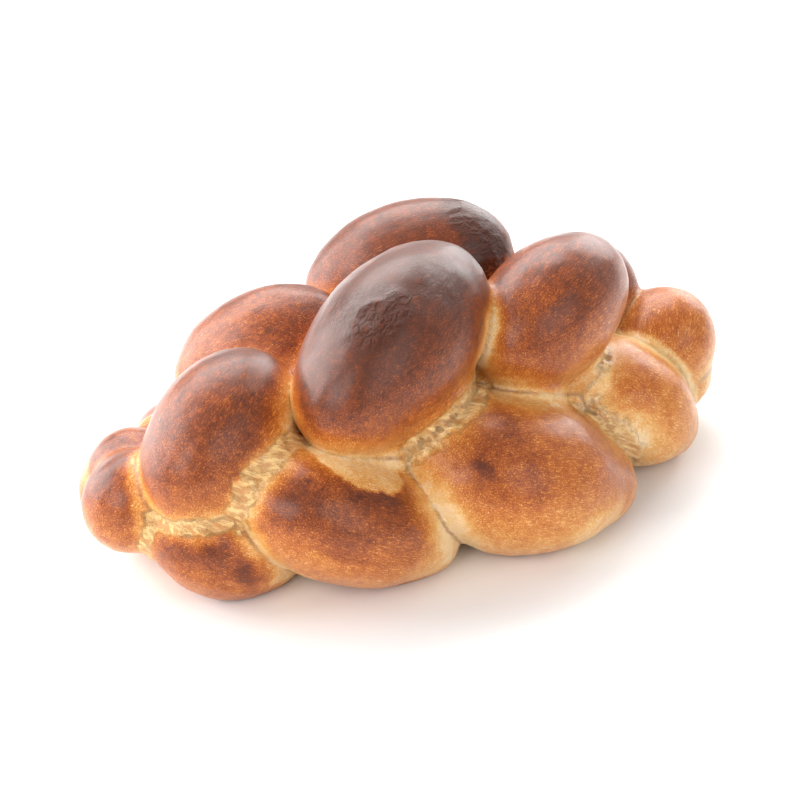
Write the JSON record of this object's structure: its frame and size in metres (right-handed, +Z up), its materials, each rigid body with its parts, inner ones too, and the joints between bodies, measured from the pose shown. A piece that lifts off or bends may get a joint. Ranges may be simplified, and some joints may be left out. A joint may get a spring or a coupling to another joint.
{
  "type": "braided loaf",
  "caption": "Short braided loaf of sweet bread, fat in the middle and tapered to both ends, baked in one piece; it rests flat on its base.",
  "frame": {"origin": "on the surface that the loaf rests on, under the centre of its box", "axes": "+X along the loaf, -Y the front, +Z up"},
  "size_m": [0.33, 0.2006, 0.1317],
  "materials": {
    "crust": "baked egg-washed crust, satin, reddish brown on the crowns and golden to cream in the creases"
  },
  "bodies": {
    "root": {"loaf": "crust"}
  },
  "joints": []
}
